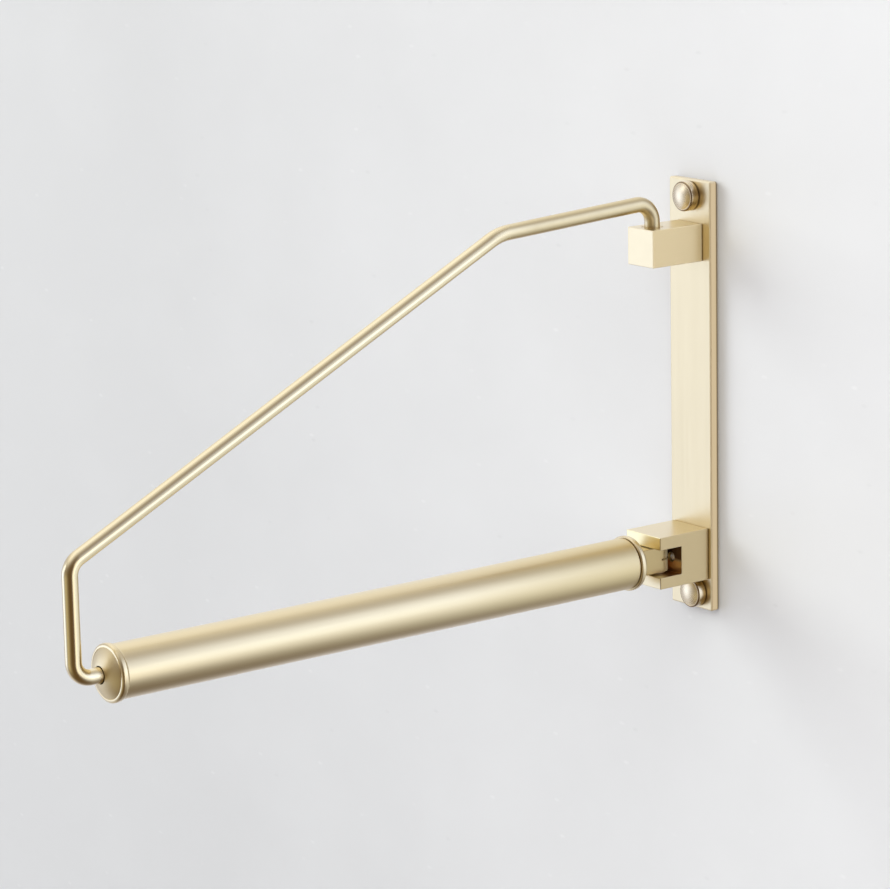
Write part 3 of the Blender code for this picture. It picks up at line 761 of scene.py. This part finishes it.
def make_screw_caps():
    """Domed caps over the wall screws."""
    cavity = CAP_RADIUS - CAP_WALL
    roof = CAP_SIDE - CAP_ROOF
    profile = eased([(cavity, SEAT_GAP), (CAP_RADIUS, SEAT_GAP, BORE_EASE),
                     (CAP_RADIUS, CAP_SIDE, CAP_SHOULDER), (CAP_FACE, CAP_SIDE),
                     (CAP_FACE - CAP_CREASE, CAP_SIDE - CAP_CREASE)])
    profile += dome(CAP_FACE, CAP_HEIGHT - CAP_SIDE, CAP_FACE - 2 * CAP_CREASE, 0.0, CAP_SIDE)
    profile += [(0.0, roof), (cavity, roof), (cavity, SEAT_GAP)]
    low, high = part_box("upper_screw_cap")
    centre = Vector(((low.x + high.x) / 2, high.y + SEAT_GAP, (low.z + high.z) / 2))
    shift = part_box("lower_screw_cap")[0] - low
    cap = add_turned("upper_cap", centre, OUT, profile, RAIL_STEPS)
    smooth(cap)
    twin = copy_of(cap, "lower_cap", shift)
    nickel = (NICKEL_DARK, NICKEL_PALE)
    upper_nickel = turned_metal("upper_cap_nickel", nickel, 0.27, centre, 0.12, CAP_PAINTED_SHADE)
    lower_nickel = turned_metal("lower_cap_nickel", nickel, 0.27, centre + shift, 0.12, CAP_PAINTED_SHADE)
    finish(cap, BRACKET, upper_nickel, "cap_metal", "upper_screw_cap")
    finish(twin, BRACKET, lower_nickel, "cap_metal", "lower_screw_cap")


# Swing arm


def make_tongue():
    low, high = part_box("swivel_tongue")
    half = (high.x - low.x) / 2
    height = high.z - low.z
    deselect()
    bpy.ops.mesh.primitive_cylinder_add(vertices=NOSE_STEPS, radius=half, depth=height,
                                        location=(SWIVEL.x, SWIVEL.y, (low.z + high.z) / 2))
    tongue = bpy.context.object
    tongue.name = "tongue"
    settle(tongue)
    bpy.ops.object.mode_set(mode="EDIT")
    bpy.ops.mesh.select_all(action="SELECT")
    bpy.ops.mesh.bisect(plane_co=SWIVEL, plane_no=OUT, use_fill=True, clear_outer=True)
    select_faces(tongue, lambda face: abs(face.calc_center_median().y - SWIVEL.y) < MERGE)
    bpy.ops.mesh.extrude_region_move(TRANSFORM_OT_translate={"value": OUT * (SWIVEL.y - low.y)})
    clean_mesh()
    bpy.ops.object.mode_set(mode="OBJECT")
    settle(tongue)
    slit = add_block("slit", Vector((low.x - half, SWIVEL.y + SLIT_END, SWIVEL.z - SLIT_HALF)),
                     Vector((high.x + half, high.y + half, SWIVEL.z + SLIT_HALF)))
    ease_edges(tongue, TONGUE_EASE)
    cut(tongue, slit)
    cut(tongue, drill("pin_hole", Vector((SWIVEL.x, SWIVEL.y, high.z)), -UP, PIN_HOLE, 2 * height))
    back = Vector((SWIVEL.x, low.y, SWIVEL.z))
    cut(tongue, drill("bolt_hole", back, -OUT, BOLT_HOLE, SWIVEL.y - low.y - BOLT_HOLE_START))
    smooth(tongue, flat_faces=True)
    finish(tongue, ARM, tongue_brass, "satin_brass", "swivel_tongue")


def bead(side, face):
    """Profile points of a cap's flange: a fine crease, the rounded bead and the neck beside the tube.

    face is the plane of the flange's front, and side is 1 where the cap faces away from the swivel axis.
    """
    corners = [(FACE_RADIUS, 0.0), (FACE_RADIUS + FACE_CREASE, FACE_CREASE),
               (FACE_RADIUS + 2 * FACE_CREASE, 0.0), (BEAD_RADIUS, 0.0, BEAD_EASE),
               (BEAD_RADIUS, FLANGE - GROOVE, BEAD_BACK_EASE),
               (NECK_RADIUS, FLANGE - GROOVE), (NECK_RADIUS, FLANGE - SEAT_GAP)]
    return eased([(radius, face - side * depth, *ease) for radius, depth, *ease in corners])


def make_rail():
    inside = TUBE_RADIUS - TUBE_WALL
    profile = eased([(inside, TUBE_START), (TUBE_RADIUS, TUBE_START, TUBE_EASE),
                     (TUBE_RADIUS, TUBE_END, TUBE_EASE), (inside, TUBE_END), (inside, TUBE_START)])
    tube = add_turned("rail", SWIVEL, OUT, profile, RAIL_STEPS)
    smooth(tube)
    finish(tube, ARM, rail_brass, "satin_brass", "rail_tube")

    web = INNER_FACE + WEB
    spigot_end = TUBE_START + SPIGOT_LENGTH
    profile = [(BOLT_HOLE, INNER_FACE)] + bead(-1, INNER_FACE)
    profile += [(SPIGOT_RADIUS, TUBE_START - SEAT_GAP), (SPIGOT_RADIUS, spigot_end),
                (SPIGOT_BORE, spigot_end), (SPIGOT_BORE, web), (BOLT_HOLE, web), (BOLT_HOLE, INNER_FACE)]
    inner = add_turned("rail_inner_end", SWIVEL, OUT, profile, RAIL_STEPS)
    smooth(inner)
    finish(inner, ARM, cap_brass, "satin_brass", "inner_end_cap")

    spigot_end = TUBE_END - SPIGOT_LENGTH
    profile = dome(FACE_RADIUS, DOME_RISE, ROD_HOLE, FACE_RADIUS, LIP_PLANE)[:-1] + bead(1, LIP_PLANE)
    profile += [(SPIGOT_RADIUS, TUBE_END + SEAT_GAP), (SPIGOT_RADIUS, spigot_end), (ROD_HOLE, spigot_end)]
    profile.append(profile[0])
    outer = add_turned("rail_outer_end", SWIVEL, OUT, profile, RAIL_STEPS)
    smooth(outer)
    finish(outer, ARM, cap_brass, "satin_brass", "outer_end_cap")


def make_brace():
    """Bend the rod: a disc is pushed along each straight run and spun about each bend."""
    points = [SWIVEL + OUT * out * MM + UP * height * MM for out, height in ROD_CORNERS]
    ways = [(end - start).normalized() for start, end in zip(points, points[1:])]
    turns = [before.angle(after) for before, after in zip(ways, ways[1:])]
    bends = [radius * MM for radius in ROD_BENDS]
    trims = [0.0] + [radius * math.tan(turn / 2) for radius, turn in zip(bends, turns)] + [0.0]
    deselect()
    bpy.ops.mesh.primitive_circle_add(vertices=ROD_SIDES, radius=ROD_RADIUS, fill_type="NGON",
                                      location=points[0])
    rod = bpy.context.object
    rod.name = "brace"
    bpy.ops.object.mode_set(mode="EDIT")
    bpy.ops.mesh.select_all(action="SELECT")
    for run, way in enumerate(ways):
        length = (points[run + 1] - points[run]).length - trims[run] - trims[run + 1]
        bpy.ops.mesh.extrude_region_move(TRANSFORM_OT_translate={"value": way * length})
        if run < len(turns):
            middle = points[run + 1] - way * trims[run + 1] + RIGHT.cross(way) * bends[run]
            bpy.ops.mesh.spin(steps=BEND_STEPS, angle=-turns[run], center=middle, axis=RIGHT)
    clean_mesh()
    bpy.ops.object.mode_set(mode="OBJECT")
    settle(rod)
    smooth(rod)
    finish(rod, ARM, rod_brass, "satin_brass", "brace_rod")


make_plate()
make_upper_block()
make_clevis()
make_screws()
make_screw_caps()
make_tongue()
make_rail()
make_brace()

KEPT_NODES = {
    "upper_jaw_bush": bearing_bronze, "lower_jaw_bush": bearing_bronze, "thrust_washer": bearing_bronze,
    "pin_plug": screw_steel, "pivot_pin": screw_steel, "upper_wall_screw": screw_steel,
    "lower_wall_screw": screw_steel, "tongue_bolt": screw_steel, "lock_washer": screw_steel,
    "cross_pin": screw_steel, "upper_cap_ring": inner_brass, "lower_cap_ring": inner_brass,
    "rod_socket": inner_brass,
}
for node, material in KEPT_NODES.items():
    for slot in frame["nodes"][node].material_slots:
        slot.material = material


# Stage, light and camera

STAGE_WIDTH = 3.2
STAGE_TOP = 1.6
STAGE_FLOOR = -1.2
STAGE_DEPTH = 3.0
STAGE_BEHIND = 0.6 * MM
WALL_TONES = ((0.67, 0.667, 0.667), (0.92, 0.915, 0.915))
FLOOR_TONES = ((0.56, 0.555, 0.55), (0.66, 0.655, 0.65))

# Plaster: the way along which it gets paler, which is painted light, and the scales of its trowel marks, sand
# and pits, per metre
PALER_WAY = (0.95, 0.0, 0.1)
TROWEL = 9.0
SAND = 260.0
PITS = 17.0
PIT_FLATTEN = 2.2
PLASTER_RELIEF = 4.0 * MM


def plaster(name, tones):
    """Pale plaster that shows only from its front."""
    material = bpy.data.materials.new(name)
    material.use_nodes = True
    tree = material.node_tree
    shader = tree.nodes["Principled BSDF"]
    shader.inputs["Roughness"].default_value = 0.9
    shader.inputs["Specular IOR Level"].default_value = 0.0
    place = Wire(tree.nodes.new("ShaderNodeTexCoord").outputs["Object"])
    trowel = noise(place, TROWEL, (1.0, 1.0, 0.7), 6.0)
    sand = noise(place, SAND, detail=4.0)
    across = place.make("ShaderNodeVectorMath", {"operation": "DOT_PRODUCT"},
                        {0: place, 1: PALER_WAY}, "Value")
    x, y, z = axes(place)
    flat = x.make("ShaderNodeCombineXYZ", None, {0: x, 1: PIT_FLATTEN * (y + z)})
    pits = flat.make("ShaderNodeTexVoronoi", {"voronoi_dimensions": "2D"}, {"Vector": flat, "Scale": PITS})
    chance = pits.make("ShaderNodeSeparateColor", None, {0: Wire(pits.socket.node.outputs["Color"])})
    speck = between(pits, 0.05, 0.015) * (chance - 0.45)
    # Paler along PALER_WAY: painted light. The trowel marks, sand and pits are the plaster's own
    tone = between(across, -0.5, 0.5) + 0.25 * (trowel - 0.5) + 0.3 * speck
    blend(tone, *tones).feed(shader, "Base Color")
    bump(shader, trowel + 0.02 * sand + 0.1 * speck, 0.12, PLASTER_RELIEF)
    behind = Wire(tree.nodes.new("ShaderNodeNewGeometry").outputs["Backfacing"])
    clear = behind.make("ShaderNodeBsdfTransparent")
    shown = behind.make("ShaderNodeMixShader", None, {0: behind, 1: Wire(shader.outputs[0]), 2: clear})
    shown.feed(tree.nodes["Material Output"], "Surface")
    return material


def make_stage():
    """A pale wall just behind the plate, and a pale floor."""
    for name, centre, size, turn, tones in (
            ("wall", (0.0, STAGE_BEHIND, (STAGE_TOP + STAGE_FLOOR) / 2),
             (STAGE_WIDTH, STAGE_TOP - STAGE_FLOOR, 1.0), (math.pi / 2, 0.0, 0.0), WALL_TONES),
            ("floor", (0.0, STAGE_BEHIND - STAGE_DEPTH / 2, STAGE_FLOOR), (STAGE_WIDTH, STAGE_DEPTH, 1.0),
             (0.0, 0.0, 0.0), FLOOR_TONES)):
        deselect()
        bpy.ops.mesh.primitive_plane_add(size=1.0, location=centre, rotation=turn)
        sheet = bpy.context.object
        sheet.name = name
        sheet.scale = size
        settle(sheet)
        sheet.data.materials.append(plaster("pale_" + name, tones))
        sheet.visible_glossy = False


def toward(azimuth, elevation):
    a = math.radians(azimuth)
    e = math.radians(elevation)
    return Vector((math.sin(a) * math.cos(e), -math.cos(a) * math.cos(e), math.sin(e)))


# Soft panels of the studio: azimuth, elevation, sharpness, colour. Past the stage, the camera sees a plain
# backdrop instead
BACKDROP = (0.80, 0.80, 0.80)
STUDIO_DIM = (0.115, 0.068, 0.025)
STUDIO_PANELS = (
    (-53.0, -7.0, 15.0, (1.31, 1.53, 2.13)),
    (122.0, -10.0, 12.0, (0.80, 0.87, 1.03)),
    (-108.0, 62.0, 3.0, (0.99, 1.03, 1.12)),
    (158.0, -26.0, 14.0, (0.70, 0.78, 0.86)),
    (-3.0, -22.5, 11.0, (0.41, 0.39, 0.275)),
    (129.0, 23.0, 12.0, (0.99, 1.15, 1.58)),
    (-125.0, -34.0, 6.0, (0.46, 0.51, 0.66)),
    (-132.0, 2.0, 5.0, (0.49, 0.55, 0.67)),
    (-10.0, 52.0, 8.0, (0.56, 0.57, 0.60)),
    (-70.0, -45.0, 14.0, (0.42, 0.44, 0.48)),
    (-36.0, 16.0, 80.0, (1.50, 1.60, 1.85)),
)


def make_studio():
    world = bpy.data.worlds.new("studio")
    bpy.context.scene.world = world
    world.use_nodes = True
    tree = world.node_tree
    way = Wire(tree.nodes.new("ShaderNodeTexCoord").outputs["Generated"])
    total = None
    for azimuth, elevation, sharpness, colour in STUDIO_PANELS:
        facing = way.make("ShaderNodeVectorMath", {"operation": "DOT_PRODUCT"},
                          {0: way, 1: toward(azimuth, elevation)}, "Value")
        glow = math.e ** (sharpness * (facing - 1.0))
        light = glow.make("ShaderNodeVectorMath", {"operation": "SCALE"}, {0: colour, "Scale": glow})
        start = STUDIO_DIM if total is None else total
        total = light.make("ShaderNodeVectorMath", {"operation": "ADD"}, {0: light, 1: start})
    seen = Wire(tree.nodes.new("ShaderNodeLightPath").outputs["Is Camera Ray"])
    shown = seen.make("ShaderNodeMix", {"data_type": "RGBA"}, {0: seen, 6: total, 7: (*BACKDROP, 1.0)}, 2)
    shown.feed(tree.nodes["Background"], "Color")


# Lamps: place, size, power, colour
WALL_LAMPS = {
    "key": (toward(-58.0, 24.0) * 3.0, (1.6, 1.6), 46.0, (0.86, 0.91, 0.89)),
    "fill": (toward(38.0, 32.0) * 4.0, (4.5, 4.5), 104.0, (0.855, 0.89, 0.87)),
}
CARD_LAMPS = {
    "front_card": (toward(60.0, -11.0) * 0.55, (0.28, 0.42), 0.24, (1.0, 0.96, 0.87)),
    "side_card": (Vector((0.80, 0.16, 0.0)), (0.44, 0.42), 0.23, (0.60, 0.74, 1.0)),
}


def add_lamp(name, place, size, power, colour):
    """A lamp that faces the bracket."""
    data = bpy.data.lights.new(name, "AREA")
    data.shape = "RECTANGLE"
    data.size, data.size_y = size
    data.energy = power
    data.color = colour
    lamp = bpy.data.objects.new(name, data)
    lamp.location = place
    lamp.rotation_euler = place.to_track_quat("Z", "Y").to_euler()
    lamp.visible_camera = False
    bpy.context.scene.collection.objects.link(lamp)
    return lamp


def make_lamps():
    """Large lamps light the wall and give its shadows. The metal mirrors the studio and two close cards."""
    for name, settings in WALL_LAMPS.items():
        add_lamp(name, *settings).visible_glossy = False
    for name, settings in CARD_LAMPS.items():
        add_lamp(name, *settings).visible_diffuse = False


CAMERA_PLACE = (1.48581, -1.29912, 0.40352)
CAMERA_AZIMUTH = 52.7113
CAMERA_DOWN = 12.2669
CAMERA_ROLL = -1.1203
CAMERA_LENS = 155.02
CAMERA_SENSOR = 36.0


def make_camera():
    data = bpy.data.cameras.new("camera")
    data.lens = CAMERA_LENS
    data.sensor_width = CAMERA_SENSOR
    camera = bpy.data.objects.new("camera", data)
    camera.matrix_world = (
        Matrix.Translation(CAMERA_PLACE)
        @ Matrix.Rotation(math.radians(CAMERA_AZIMUTH), 4, "Z")
        @ Matrix.Rotation(math.radians(90.0 - CAMERA_DOWN), 4, "X")
        @ Matrix.Rotation(math.radians(CAMERA_ROLL), 4, "Z"))
    bpy.context.scene.collection.objects.link(camera)
    bpy.context.scene.camera = camera


make_stage()
make_studio()
make_lamps()
make_camera()
bpy.context.scene.view_settings.view_transform = "Standard"
